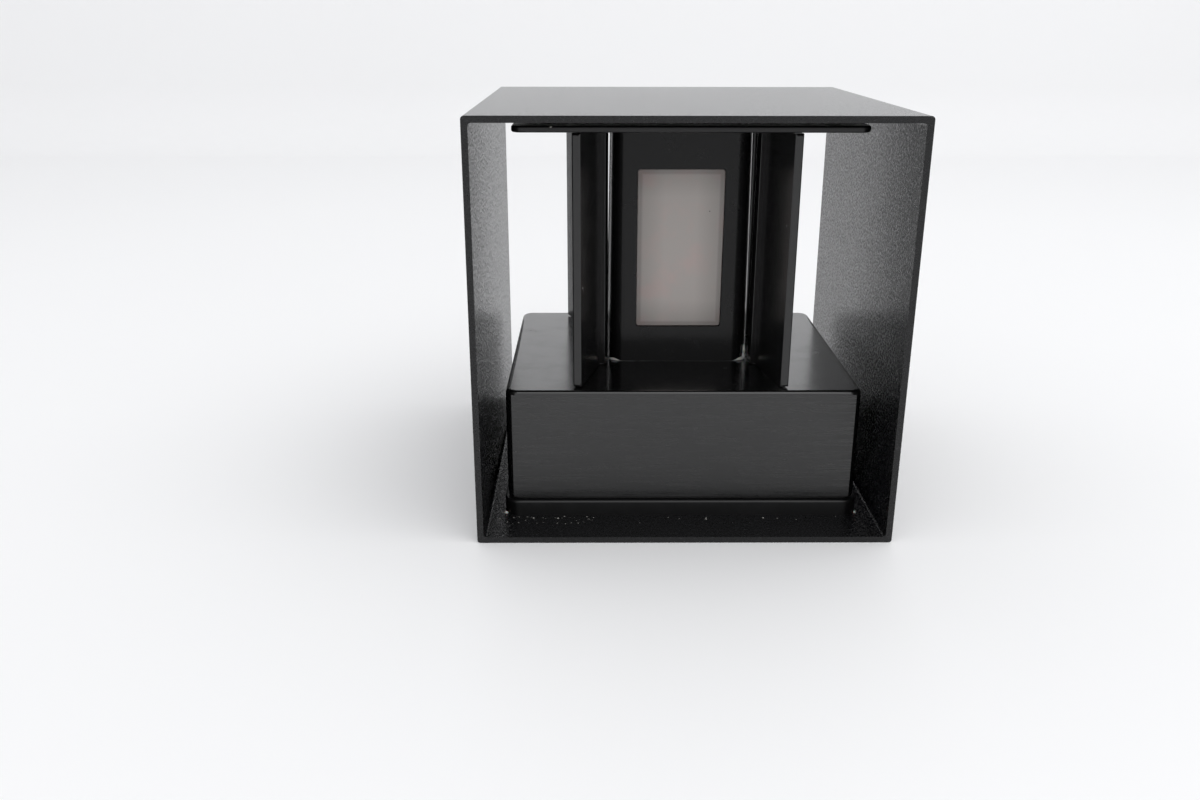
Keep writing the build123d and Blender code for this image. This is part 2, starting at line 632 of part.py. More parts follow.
def make_flap(name):
    half = FLAP_THICKNESS / 2
    end = FLAP_LENGTH
    height = flap_top - flap_bottom
    blade = Polyline(
        (0, half),
        (end - FLAP_EDGE_RADIUS, half),
        (end, half - FLAP_EDGE_RADIUS),
        (end, FLAP_EDGE_RADIUS - half),
        (end - FLAP_EDGE_RADIUS, -half),
        (0, -half),
        close=True,
    )
    hub = Rectangle(HUB_WIDTH, HUB_WIDTH)
    hub = fillet(hub.vertices().group_by(Axis.X)[0], HUB_BACK_RADIUS)
    hub = fillet(hub.vertices().group_by(Axis.X)[-1], HUB_EDGE_RADIUS)
    flap = extrude(make_face(blade) + hub - Circle(PIN_RADIUS + PIN_FIT), height)
    reach = FLAP_LENGTH + HUB_WIDTH / 2
    side_view = Rectangle(reach, height)
    free_corners = side_view.vertices().group_by(Axis.X)[-1]
    side_view = fillet(free_corners, FLAP_CORNER_RADIUS)
    slab = extrude(Plane.XZ * side_view, HUB_WIDTH, both=True)
    flap &= Pos((reach - HUB_WIDTH) / 2, 0, height / 2) * slab
    side_x, side_y = hinge_sides(name)
    place = Pos(side_x * hinge_x, side_y * hinge_y, flap_bottom)
    return place * Rot(0, 0, flap_direction(name)) * flap


def make_hinge_pin(name):
    top = plate_top - FIT
    cone = PIN_HEAD_RADIUS - PIN_RADIUS
    pin = turned([
        (0, pin_seat),
        (PIN_RADIUS, pin_seat),
        (PIN_RADIUS, top - cone),
        (PIN_HEAD_RADIUS, top),
        (0, top),
    ])
    side_x, side_y = hinge_sides(name)
    return Pos(side_x * hinge_x, side_y * hinge_y, 0) * pin


def make_washers(bottom, thickness):
    ring = Circle(WASHER_RADIUS) - Circle(PIN_RADIUS + FIT)
    return group(Pos(x, y, bottom) * extrude(ring, thickness) for x, y in corners(hinge_x, hinge_y))


# Driver board and what stands on it
def make_driver_board():
    board = RectangleRounded(DRIVER_WIDTH, driver_length, DRIVER_CORNER_RADIUS)
    for x, y in standoff_places():
        board -= Pos(x, y - driver_y) * Circle(DRIVER_SCREW_RADIUS + FIT)
    return Pos(0, driver_y, driver_bottom) * extrude(board, DRIVER_THICKNESS)


def make_driver_insulator():
    sheet = Rectangle(DRIVER_WIDTH + 2 * INSULATOR_MARGIN, driver_length + 2 * INSULATOR_MARGIN)
    for x, y in standoff_places():
        sheet -= Pos(x, y - driver_y) * Circle(STANDOFF_RADIUS + FIT)
    return Pos(0, driver_y, base_top) * extrude(sheet, INSULATOR_THICKNESS)


def make_driver_screws():
    head_height = DRIVER_SCREW_HEAD_HEIGHT
    screw = pan_screw(DRIVER_SCREW_RADIUS, DRIVER_SCREW_HEAD_RADIUS, head_height, DRIVER_SCREW_LENGTH)
    upside_down = Rot(180, 0, 0)
    return group(Pos(x, y, driver_top) * upside_down * screw for x, y in standoff_places())


def on_driver(shape, x, y=0.0):
    """Shape set on the upper face of the driver board, x and y from the board's middle."""
    return Pos(x, driver_y + y, driver_top) * shape


def make_transformer_core():
    outer = Rectangle(TRANSFORMER_WIDTH, TRANSFORMER_HEIGHT)
    windows = Rectangle(TRANSFORMER_WIDTH - 2 * TRANSFORMER_LIMB, TRANSFORMER_HEIGHT - 2 * TRANSFORMER_LIMB)
    frame = outer - windows + Rectangle(TRANSFORMER_LIMB, TRANSFORMER_HEIGHT)
    core = extrude(Plane.XZ * frame, TRANSFORMER_LIMB, both=True)
    return on_driver(Pos(0, 0, TRANSFORMER_HEIGHT / 2) * core, 0)


def make_transformer_winding():
    room = FIT
    length = TRANSFORMER_LENGTH
    width = TRANSFORMER_WIDTH - 2 * TRANSFORMER_LIMB - 2 * room
    height = TRANSFORMER_HEIGHT - 2 * TRANSFORMER_LIMB - 2 * room
    coil = RectangleRounded(width, length, TRANSFORMER_WINDING_WALL / 2)
    coil -= Rectangle(TRANSFORMER_LIMB + 2 * room, 2 * TRANSFORMER_LIMB + 2 * room)
    return on_driver(Pos(0, 0, TRANSFORMER_LIMB + room) * extrude(coil, height), 0)


def make_driver_capacitors():
    can = upright(CAPACITOR_RADIUS, 0, CAPACITOR_HEIGHT)
    can = chamfer(can.edges().sort_by(Axis.Z)[-1], CAPACITOR_RADIUS * 0.15)
    start = TRANSFORMER_WIDTH / 2 + CAPACITOR_RADIUS + COMPONENT_GAP
    return group(on_driver(can, start + CAPACITOR_SPACING * step) for step in (0, 1))


def make_driver_inductor():
    top = INDUCTOR_HEIGHT
    drum = turned([
        (0, 0),
        (INDUCTOR_RADIUS, 0),
        (INDUCTOR_RADIUS, INDUCTOR_FLANGE),
        (INDUCTOR_CORE_RADIUS, INDUCTOR_FLANGE),
        (INDUCTOR_CORE_RADIUS, top - INDUCTOR_FLANGE),
        (INDUCTOR_RADIUS, top - INDUCTOR_FLANGE),
        (INDUCTOR_RADIUS, top),
        (0, top),
    ])
    return on_driver(drum, -TRANSFORMER_WIDTH / 2 - COMPONENT_GAP - INDUCTOR_RADIUS)


def make_driver_rectifier():
    chip = Pos(0, 0, RECTIFIER_HEIGHT / 2) * Box(RECTIFIER_WIDTH, RECTIFIER_LENGTH, RECTIFIER_HEIGHT)
    chip = chamfer(chip.faces().sort_by(Axis.Z)[-1].edges(), RECTIFIER_HEIGHT / 5)
    return on_driver(chip, small_parts_x, -RECTIFIER_LENGTH / 2)


def make_driver_fuse():
    return on_driver(upright(FUSE_RADIUS, 0, FUSE_HEIGHT), small_parts_x, FUSE_RADIUS + COMPONENT_GAP)


# Terminal block: a stepped bar with a screw well and a wire hole for each conductor
def terminal_places():
    first = -(TERMINAL_COUNT - 1) / 2
    return [(first + step) * TERMINAL_PITCH for step in range(TERMINAL_COUNT)]


def make_terminal_block():
    half = TERMINAL_LENGTH / 2
    step = TERMINAL_STEP
    side = Polyline(
        (-half, 0),
        (half, 0),
        (half, TERMINAL_HEIGHT - step),
        (half - step, TERMINAL_HEIGHT),
        (step - half, TERMINAL_HEIGHT),
        (-half, TERMINAL_HEIGHT - step),
        close=True,
    )
    bar = extrude(Plane.YZ * make_face(side), terminal_width / 2, both=True)
    for x in terminal_places():
        bar -= upright(TERMINAL_WELL_RADIUS, TERMINAL_WIRE_HEIGHT, TERMINAL_HEIGHT + 1, x)
        hole = extrude(Plane.XZ * Circle(TERMINAL_WIRE_RADIUS), half + 1, both=True)
        bar -= Pos(x, 0, TERMINAL_WIRE_HEIGHT) * hole
    return Pos(0, terminal_y, base_top) * bar


def make_terminal_screws():
    bottom = TERMINAL_WIRE_HEIGHT + TERMINAL_WIRE_RADIUS + FIT
    screw = upright(TERMINAL_WELL_RADIUS - FIT, bottom, bottom + TERMINAL_SCREW_HEIGHT)
    slot = Box(2 * TERMINAL_WELL_RADIUS, TERMINAL_SCREW_SLOT, 2 * TERMINAL_SCREW_SLOT_DEPTH)
    screw -= Pos(0, 0, bottom + TERMINAL_SCREW_HEIGHT) * slot
    place = Pos(0, terminal_y, base_top)
    return group(place * Pos(x, 0, 0) * screw for x in terminal_places())


# Inner leads: from the driver board through the post to each lamp board, and from the terminals
def make_led_leads(side_y):
    half = LEAD_PAIR_PITCH / 2
    run = base_top + LEAD_RUN_HEIGHT + max(side_y, 0) * LEAD_RUN_STEP
    start_y = driver_front + LEAD_PAD_MARGIN
    pad_y = side_y * (lamp_board_face + LEAD_RADIUS + FIT)
    pad_top = lamp_board_bottom + LEAD_PAD_LENGTH
    wires = []
    for side in (-1, 1):
        x = side * half
        start_x = side * (half + LEAD_PAIR_PITCH) + side_y * LEAD_PAIR_OFFSET
        points = [
            (start_x, start_y, driver_top),
            (start_x, start_y, run),
            (x, side_y * half, run),
            (x, side_y * half, cross_bore_height),
            (x, pad_y, cross_bore_height),
            (x, pad_y, pad_top),
        ]
        wide = LEAD_BEND_RADIUS
        tight = LEAD_TIGHT_BEND_RADIUS
        wires.append(lead(points, [wide, wide, tight, tight]))
    return group(wires)


def make_supply_leads():
    height = base_top + TERMINAL_WIRE_HEIGHT
    run = gland_sleeve_top
    start_y = terminal_y + TERMINAL_LENGTH / 4
    exit_y = terminal_y + TERMINAL_LENGTH / 2 + SUPPLY_LEAD_EXIT
    pass_x = GLAND_HEX_WIDTH / math.sqrt(3) + SUPPLY_LEAD_GLAND_ROOM
    end_x = DRIVER_WIDTH / 2 - SUPPLY_LEAD_PAD_INSET
    end_y = driver_front + LEAD_PAD_MARGIN
    wires = []
    for side in (-1, 1):
        points = [
            (side * TERMINAL_PITCH, start_y, height),
            (side * TERMINAL_PITCH, exit_y, height),
            (side * pass_x, -SUPPLY_LEAD_PASS, run),
            (side * end_x, end_y, run),
            (side * end_x, end_y, driver_top),
        ]
        wires.append(lead(points, [SUPPLY_LEAD_BEND_RADIUS, SUPPLY_LEAD_BEND_RADIUS, LEAD_BEND_RADIUS]))
    return group(wires)


parts = {
    "outer_shell": make_outer_shell(),
    "body_screws": make_body_screws(),
    "base_plate": make_base_plate(),
    "housing_gasket": make_housing_gasket(),
    "driver_housing": make_driver_housing(),
    "gland_body": make_gland_body(),
    "gland_seal": make_gland_seal(),
    "gland_nut": make_gland_nut(),
    "led_post": make_led_post(),
    "post_screws": make_post_screws(),
    "post_sealant": make_post_sealant(),
    "lamp_board_screws": make_lamp_board_screws(),
    "top_plate": make_top_plate(),
    "top_plate_screws": make_top_plate_screws(),
    "lower_hinge_washers": make_washers(housing_top, LOWER_WASHER_THICKNESS),
    "upper_hinge_washers": make_washers(plate_bottom - UPPER_WASHER_THICKNESS, UPPER_WASHER_THICKNESS),
    "driver_board": make_driver_board(),
    "driver_insulator": make_driver_insulator(),
    "driver_screws": make_driver_screws(),
    "transformer_core": make_transformer_core(),
    "transformer_winding": make_transformer_winding(),
    "driver_capacitors": make_driver_capacitors(),
    "driver_inductor": make_driver_inductor(),
    "driver_rectifier": make_driver_rectifier(),
    "driver_fuse": make_driver_fuse(),
    "terminal_block": make_terminal_block(),
    "terminal_screws": make_terminal_screws(),
    "led_leads_front": make_led_leads(-1),
    "led_leads_rear": make_led_leads(1),
    "supply_leads": make_supply_leads(),
}

window_parts = {
    "diffuser": make_diffuser(),
    "diffuser_seal": make_diffuser_seal(),
    "led_board": make_led_board(),
    "thermal_pad": make_thermal_pad(),
    "led_emitter": make_led_emitter(),
    "led_phosphor": make_led_phosphor(),
}
for window_part, front_shape in window_parts.items():
    parts[window_part + "_front"] = front_shape
    parts[window_part + "_rear"] = half_turn(front_shape)

for flap_name in flap_angles:
    parts["flap_" + flap_name] = make_flap(flap_name)
    parts["hinge_pin_" + flap_name] = make_hinge_pin(flap_name)

os.makedirs("parts", exist_ok=True)
for node, shape in parts.items():
    export_step(shape, "parts/" + node + ".step")
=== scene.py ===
"""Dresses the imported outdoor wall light: finishes, uneven sealant, a little dust and a plain studio."""

import math
import random

import bmesh
import bpy
from bpy.props import FloatProperty, FloatVectorProperty, PointerProperty
from mathutils import Matrix, Vector, noise


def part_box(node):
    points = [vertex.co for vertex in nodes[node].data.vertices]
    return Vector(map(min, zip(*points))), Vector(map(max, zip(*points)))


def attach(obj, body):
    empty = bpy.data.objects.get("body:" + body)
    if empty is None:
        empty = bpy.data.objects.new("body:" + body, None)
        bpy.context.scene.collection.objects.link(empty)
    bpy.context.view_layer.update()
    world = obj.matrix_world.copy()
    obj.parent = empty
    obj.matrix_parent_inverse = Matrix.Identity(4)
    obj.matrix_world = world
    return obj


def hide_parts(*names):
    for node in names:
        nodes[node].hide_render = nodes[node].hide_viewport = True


bl_info = {
    "name": "Outdoor wall light",
    "version": (1, 0, 0),
    "blender": (4, 5, 0),
    "location": "3D View > Sidebar > Wall light",
    "description": "Finishes, sealant and studio for a square wall light that shines up and down",
    "category": "Object",
}

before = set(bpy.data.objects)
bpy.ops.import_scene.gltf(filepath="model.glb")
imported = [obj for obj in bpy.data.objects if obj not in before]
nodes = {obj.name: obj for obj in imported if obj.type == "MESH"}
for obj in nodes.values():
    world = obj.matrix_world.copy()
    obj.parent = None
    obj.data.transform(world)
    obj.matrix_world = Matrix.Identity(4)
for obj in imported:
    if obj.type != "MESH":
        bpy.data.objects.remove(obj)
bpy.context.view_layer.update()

MM = 0.001
IMAGE_WIDTH = 1200
SENSOR_WIDTH = 36.0

# Camera of the photograph: place, tilt, roll and turn, and its focal length in image widths
CAMERA_PLACE = (-21.882 * MM, -280.63 * MM, 119.248 * MM)
CAMERA_TILT = -0.343976
CAMERA_ROLL = -0.001529
CAMERA_TURN = -0.005981
CAMERA_LENS = 1065.784 / IMAGE_WIDTH * SENSOR_WIDTH

# Levels of the part that the added pieces stand on
HOUSING_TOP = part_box("driver_housing")[1][2]
SHELL_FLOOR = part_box("base_plate")[0][2]
SHELL_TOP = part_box("outer_shell")[1][2]
PLATE_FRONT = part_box("top_plate")[0][1]
POST_LOW, POST_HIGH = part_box("led_post")
POST_CORNER = 4.51 * MM
WINDOW_MIDDLE = 63.8 * MM
WINDOW_HALF = (11.0 * MM, 20.2 * MM)
PANE_MOTE = (7.3 * MM, -12.0 * MM, 73.5 * MM)

# How much the size of a lump varies over it, and how close its dents lie
BLOB_UNEVENNESS = 0.35
BLOB_DENTS = 1.4


def colour_property(label, text, default):
    """Colour that a user may change."""
    return FloatVectorProperty(
        name=label, description=text, subtype="COLOR", size=3, min=0.0, max=1.0, default=default
    )


def length_property(label, text, millimetres):
    """Length that a user may change."""
    return FloatProperty(
        name=label, description=text, subtype="DISTANCE", unit="LENGTH", min=0.0, default=millimetres * MM
    )


class PaintSettings(bpy.types.PropertyGroup):
    """Colours of the black coats"""

    shell: colour_property("Shell", "Textured powder coat of the square tube", (0.006, 0.006, 0.0066))
    cast: colour_property("Housing", "Satin paint of the cast driver housing", (0.0030, 0.0030, 0.0032))
    base: colour_property("Base plate", "Satin paint of the base plate", (0.0035, 0.0035, 0.0037))
    post: colour_property("Post", "Gloss paint of the lamp post", (0.0055, 0.0055, 0.0057))
    plate: colour_property("Top plate", "Satin paint of the top plate", (0.0045, 0.0045, 0.0048))
    flap: colour_property("Flaps", "Satin paint of the beam flaps", (0.0048, 0.0048, 0.0050))
    relief: length_property("Coat relief", "Height of the grain in the powder coat", 0.1)


class WindowSettings(bpy.types.PropertyGroup):
    """Colours of the lamp windows"""

    pane: colour_property("Pane", "Frosted pane with the lamp off", (0.51, 0.47, 0.444))
    blush: colour_property("Blush", "Pinkish patches in the pane", (0.56, 0.465, 0.44))


class SealantSettings(bpy.types.PropertyGroup):
    """Sizes and colour of the sealant at the foot of the post"""

    colour: colour_property("Sealant", "Cloudy silicone", (0.62, 0.61, 0.58))
    width: length_property("Width", "Usual width of the bead on the housing", 0.5)
    height: length_property("Height", "Usual height of the bead on the post", 0.42)


class StageSettings(bpy.types.PropertyGroup):
    """Colours and light of the studio"""

    floor: colour_property("Floor", "Pale floor under the light", (0.93, 0.93, 0.932))
    surroundings: colour_property("Surroundings", "Pale room round the floor", (0.86, 0.865, 0.88))
    lamp_power: FloatProperty(
        name="Lamp power",
        description="Power of the soft lamp overhead",
        unit="POWER",
        min=0.0,
        default=3.5,
    )


class WallLightSettings(bpy.types.PropertyGroup):
    """Everything about the wall light that a user may change"""

    paint: PointerProperty(type=PaintSettings, name="Paint", description="Black coats")
    window: PointerProperty(type=WindowSettings, name="Windows", description="Lamp windows")
    sealant: PointerProperty(type=SealantSettings, name="Sealant", description="Bead round the post")
    stage: PointerProperty(type=StageSettings, name="Studio", description="Floor, room and lamp")


# Small tools for materials
def node(tree, kind, inputs=None, **settings):
    """Adds a node, with its settings and its inputs, each a value or a socket to link."""
    made = tree.nodes.new(kind)
    for name, value in settings.items():
        setattr(made, name, value)
    for name, value in (inputs or {}).items():
        if isinstance(value, bpy.types.NodeSocket):
            tree.links.new(value, made.inputs[name])
        else:
            made.inputs[name].default_value = value
    return made


def place_on(tree):
    """Place on the object, in metres."""
    return node(tree, "ShaderNodeTexCoord").outputs["Object"]


def stretched(tree, place, scale):
    """Place with each axis scaled on its own, for marks that run one way."""
    return node(tree, "ShaderNodeVectorMath", {0: place, 1: scale}, operation="MULTIPLY").outputs[0]


def grain(tree, place, size, detail=2.0, rough=0.5):
    """Even noise with cells of the given size in metres, from 0 to 1."""
    values = {"Vector": place, "Scale": 1.0 / size, "Detail": detail, "Roughness": rough}
    return node(tree, "ShaderNodeTexNoise", values).outputs[0]


def ramp(tree, value, low, high, to_low, to_high):
    """Value from low to high turned into another range and kept inside it."""
    values = {"Value": value, "From Min": low, "From Max": high, "To Min": to_low, "To Max": to_high}
    return node(tree, "ShaderNodeMapRange", values).outputs[0]


def math_node(tree, operation, first, second):
    """Sum, difference, product or lesser of two values."""
    return node(tree, "ShaderNodeMath", {0: first, 1: second}, operation=operation).outputs[0]


def times(tree, first, second):
    """Product of two values."""
    return math_node(tree, "MULTIPLY", first, second)


def absolute(tree, value):
    """Value without its sign."""
    return node(tree, "ShaderNodeMath", {0: value}, operation="ABSOLUTE").outputs[0]


def over_wall(tree, place):
    """Height of a place over the wall face, in metres."""
    return node(tree, "ShaderNodeSeparateXYZ", {0: place}).outputs[2]


def mixed(tree, factor, first, second):
    """Colour between two colours."""
    made = node(tree, "ShaderNodeMix", {0: factor}, data_type="RGBA")
    for socket, value in ((made.inputs[6], first), (made.inputs[7], second)):
        if isinstance(value, bpy.types.NodeSocket):
            tree.links.new(value, socket)
        else:
            socket.default_value = (*value, 1.0)
    return made.outputs[2]


def lighter(colour, factor):
    """Colour times a factor, which is below 1 for a darker one."""
    return tuple(min(1.0, channel * factor) for channel in colour)


def bumped(tree, height, distance, normal=None):
    """Normal of a surface raised by a height from 0 to 1 times a distance in metres."""
    values = {"Height": height, "Distance": distance, "Strength": 1.0}
    if normal is not None:
        values["Normal"] = normal
    return node(tree, "ShaderNodeBump", values).outputs[0]


def new_finish(name):
    """Material with its tree and its shader."""
    finish = bpy.data.materials.new(name)
    finish.use_nodes = True
    tree = finish.node_tree
    return finish, tree, tree.nodes["Principled BSDF"]


def link(tree, shader, **sockets):
    """Links what varies over the surface to the shader."""
    names = {"colour": "Base Color", "roughness": "Roughness", "normal": "Normal"}
    for name, socket in sockets.items():
        tree.links.new(socket, shader.inputs[names[name]])


def facing(tree, axis):
    """How squarely the surface faces along an axis of the object, from 0 to 1."""
    normal = node(tree, "ShaderNodeTexCoord").outputs["Normal"]
    return absolute(tree, node(tree, "ShaderNodeSeparateXYZ", {0: normal}).outputs[axis])


# Finishes
def powder_coat(name, colour, relief):
    """Textured powder coat: an uneven skin, patches that shine more or less, and painted glints: small
    light specks in its colour on the crests of the grain that stand in for the sparkle of tiny facets.

    The outer face away from the wall came out smoother than the others.
    """
    finish, tree, shader = new_finish(name)
    place = place_on(tree)
    peel = grain(tree, place, 0.75 * MM, 3.0, 0.6)
    tooth = grain(tree, place, 0.28 * MM, 1.0)
    mottle = grain(tree, place, 0.6 * MM, 2.0, 0.6)
    height = math_node(tree, "ADD", times(tree, peel, 0.65), times(tree, tooth, 0.35))
    # Painted glints: the crests of the grain are lightened in the colour to stand in for the sparkle of
    # tiny facets
    painted_glints = ramp(tree, height, 0.56, 0.68, 0.0, 0.6)
    dull = mixed(tree, peel, lighter(colour, 0.5), lighter(colour, 1.5))
    link(tree, shader, colour=mixed(tree, painted_glints, dull, lighter(colour, 4.0)))
    outside = ramp(tree, over_wall(tree, place), SHELL_TOP - 0.6 * MM, SHELL_TOP - 0.2 * MM, 0.0, 1.0)
    rough = node(tree, "ShaderNodeMix", {0: outside}, data_type="FLOAT")
    tree.links.new(ramp(tree, mottle, 0.36, 0.64, 0.17, 0.41), rough.inputs[2])
    tree.links.new(ramp(tree, mottle, 0.36, 0.64, 0.15, 0.19), rough.inputs[3])
    link(tree, shader, roughness=rough.outputs[0])
    link(tree, shader, normal=bumped(tree, height, relief))
    shader.inputs["IOR"].default_value = 1.42
    return finish


def eased_corners(tree):
    """Normal that turns slowly out of the left and right faces, as on a corner that starts softly."""
    normal = node(tree, "ShaderNodeTexCoord").outputs["Normal"]
    parts = node(tree, "ShaderNodeSeparateXYZ", {0: normal})
    across = times(tree, parts.outputs[1], facing(tree, 1))
    eased = node(tree, "ShaderNodeCombineXYZ", {0: parts.outputs[0], 1: across, 2: parts.outputs[2]})
    spaces = {"vector_type": "NORMAL", "convert_from": "OBJECT", "convert_to": "WORLD"}
    return node(tree, "ShaderNodeVectorTransform", {0: eased.outputs[0]}, **spaces).outputs[0]


def satin_paint(name, colour, roughness, wave=3.0, relief=0.004, index=1.5, eased=False):
    """Smooth paint with a faint waviness, fingermarks that dull it, and a little settled dust."""
    finish, tree, shader = new_finish(name)
    place = place_on(tree)
    waves = grain(tree, place, wave * MM, 2.0)
    marks = grain(tree, place, 6.0 * MM, 4.0, 0.65)
    motes = grain(tree, place, 0.5 * MM, 1.0)
    smudge = ramp(tree, marks, 0.5, 0.75, 0.0, 1.0)
    dust = times(tree, ramp(tree, motes, 0.68, 0.78, 0.0, 1.0), smudge)
    tone = mixed(tree, smudge, colour, lighter(colour, 1.35))
    link(tree, shader, colour=mixed(tree, dust, tone, lighter(colour, 5.0)))
    link(tree, shader, roughness=ramp(tree, marks, 0.4, 0.75, roughness, roughness + 0.06))
    soft = eased_corners(tree) if eased else None
    link(tree, shader, normal=bumped(tree, waves, relief * MM, soft))
    shader.inputs["IOR"].default_value = index
    return finish


def plain_finish(name, colour, roughness, cell=0.4, relief=0.01):
    """Moulded, cast or rubbed surface: fine grain, uneven sheen and slight change of tone."""
    finish, tree, shader = new_finish(name)
    place = place_on(tree)
    fine = grain(tree, place, cell * MM, 3.0)
    broad = grain(tree, place, 12 * cell * MM, 3.0)
    link(tree, shader, colour=mixed(tree, broad, lighter(colour, 0.88), lighter(colour, 1.12)))
    link(tree, shader, roughness=ramp(tree, broad, 0.3, 0.7, roughness - 0.05, roughness + 0.07))
    link(tree, shader, normal=bumped(tree, fine, relief * MM))
    return finish


def turned_steel(name, colour, roughness):
    """Steel with fine rings from turning and a few darker stains."""
    finish, tree, shader = new_finish(name)
    place = place_on(tree)
    rings = grain(tree, stretched(tree, place, (1.0, 1.0, 12.0)), 0.5 * MM, 2.0)
    stain = grain(tree, place, 3.0 * MM, 3.0)
    tone = mixed(tree, ramp(tree, stain, 0.4, 0.7, 0.0, 1.0), colour, lighter(colour, 0.72))
    link(tree, shader, colour=tone)
    link(tree, shader, roughness=ramp(tree, rings, 0.3, 0.7, roughness, roughness + 0.15))
    link(tree, shader, normal=bumped(tree, rings, 0.006 * MM))
    shader.inputs["Metallic"].default_value = 1.0
    return finish


def cast_paint(name, colour):
    """Paint of the housing: smooth on top, with level brush marks on its milled front and rear."""
    finish, tree, shader = new_finish(name)
    place = place_on(tree)
    milled = ramp(tree, facing(tree, 1), 0.95, 0.99, 0.0, 1.0)
    brush = grain(tree, stretched(tree, place, (0.035, 1.0, 1.0)), 0.45 * MM, 3.0, 0.6)
    waves = grain(tree, place, 5.0 * MM, 2.0)
    marks = grain(tree, place, 7.0 * MM, 4.0, 0.65)
    smudge = ramp(tree, marks, 0.5, 0.75, 0.0, 1.0)
    scratch = times(tree, ramp(tree, brush, 0.55, 0.75, 0.0, 1.0), milled)
    tone = mixed(tree, times(tree, smudge, 0.5), colour, lighter(colour, 1.6))
    link(tree, shader, colour=mixed(tree, times(tree, scratch, 0.6), tone, lighter(colour, 6.0)))
    smooth = ramp(tree, marks, 0.45, 0.75, 0.19, 0.29)
    dull = times(tree, milled, ramp(tree, brush, 0.4, 0.6, 0.04, 0.26))
    link(tree, shader, roughness=math_node(tree, "ADD", smooth, dull))
    height = math_node(tree, "ADD", times(tree, brush, milled), waves)
    link(tree, shader, normal=bumped(tree, height, 0.004 * MM))
    shader.inputs["IOR"].default_value = 1.55
    shader.inputs["Coat Weight"].default_value = 0.4
    shader.inputs["Coat Roughness"].default_value = 0.16
    return finish


def frosted_pane(name, settings):
    """Frosted polycarbonate: pinkish patches, painted shade along its frame (a darker rim and a soft
    darkening towards the edges), fine grain and one dark mote.
    """
    finish, tree, shader = new_finish(name)
    place = place_on(tree)
    parts = node(tree, "ShaderNodeSeparateXYZ", {0: place})
    across = absolute(tree, parts.outputs[0])
    along = absolute(tree, math_node(tree, "SUBTRACT", parts.outputs[2], WINDOW_MIDDLE))
    beside = math_node(tree, "SUBTRACT", WINDOW_HALF[0], across)
    above = math_node(tree, "SUBTRACT", WINDOW_HALF[1], along)
    # Painted shade cast by the frame: a darker rim within 1.5 mm of it and a soft darkening over 7 mm
    # towards the edges
    painted_rim_shade = ramp(tree, math_node(tree, "MINIMUM", beside, above), 1.0 * MM, 1.5 * MM, 0.76, 1.0)
    painted_edge_shade = times(tree, *(ramp(tree, inside, 0.0, 7.0 * MM, 0.72, 1.0) for inside in (beside, above)))
    mote = node(tree, "ShaderNodeVectorMath", {0: place, 1: PANE_MOTE}, operation="DISTANCE").outputs[1]
    # Painted shade along the frame, times the dark mote, which is a real speck
    painted_shade_and_mote = times(tree, times(tree, painted_rim_shade, painted_edge_shade), ramp(tree, mote, 0.12 * MM, 0.2 * MM, 0.3, 1.0))
    patches = grain(tree, stretched(tree, place, (1.0, 0.2, 1.0)), 7.0 * MM, 3.0, 0.55)
    etched = grain(tree, place, 0.25 * MM, 2.0)
    pinkish = ramp(tree, patches, 0.46, 0.66, 0.0, 1.0)
    tone = mixed(tree, pinkish, tuple(settings.pane), tuple(settings.blush))
    tone = mixed(tree, ramp(tree, etched, 0.4, 0.9, 0.0, 0.25), tone, (0.6, 0.58, 0.56))
    link(tree, shader, colour=mixed(tree, painted_shade_and_mote, (0.0, 0.0, 0.0), tone))
    link(tree, shader, roughness=ramp(tree, patches, 0.3, 0.7, 0.48, 0.60))
    link(tree, shader, normal=bumped(tree, etched, 0.004 * MM))
    shader.inputs["Subsurface Weight"].default_value = 0.12
    shader.inputs["Subsurface Radius"].default_value = (1.0, 0.8, 0.7)
    shader.inputs["Subsurface Scale"].default_value = 1.0 * MM
    return finish


def cloudy_silicone(name, colour, film_from=None):
    """Translucent sealant with cloudy streaks, dark where it is only a film on black paint."""
    finish, tree, shader = new_finish(name)
    place = place_on(tree)
    streaks = grain(tree, place, 1.2 * MM, 3.0)
    cloud = ramp(tree, streaks, 0.3, 0.7, 0.0, 1.0)
    tone = mixed(tree, cloud, lighter(colour, 0.72), lighter(colour, 1.15))
    if film_from is not None:
        height = over_wall(tree, place)
        thick = ramp(tree, height, film_from + 0.04 * MM, film_from + 0.28 * MM, 0.07, 1.0)
        tone = mixed(tree, thick, (0.0, 0.0, 0.0), tone)
    link(tree, shader, colour=tone)
    link(tree, shader, roughness=ramp(tree, streaks, 0.3, 0.7, 0.25, 0.4))
    link(tree, shader, normal=bumped(tree, streaks, 0.03 * MM))
    shader.inputs["Subsurface Weight"].default_value = 0.3
    shader.inputs["Subsurface Scale"].default_value = 0.6 * MM
    return finish


# Small tools for pieces
def dress(finish, *names):
    """Gives CAD nodes a finish."""
    for name in names:
        solid = nodes[name]
        if not solid.material_slots:
            solid.data.materials.append(finish)
        for slot in solid.material_slots:
            slot.material = finish


def object_from(mesh, name, finish):
    """Smooth object from a bmesh."""
    data = bpy.data.meshes.new(name)
    mesh.to_mesh(data)
    mesh.free()
    data.materials.append(finish)
    for polygon in data.polygons:
        polygon.use_smooth = True
    made = bpy.data.objects.new(name, data)
    bpy.context.scene.collection.objects.link(made)
    return made


def piece_from(mesh, name, finish):
    """Closed piece from a bmesh, riding on the still body."""
    bmesh.ops.recalc_face_normals(mesh, faces=mesh.faces)
    made = object_from(mesh, name, finish)
    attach(made, "root")
    return made


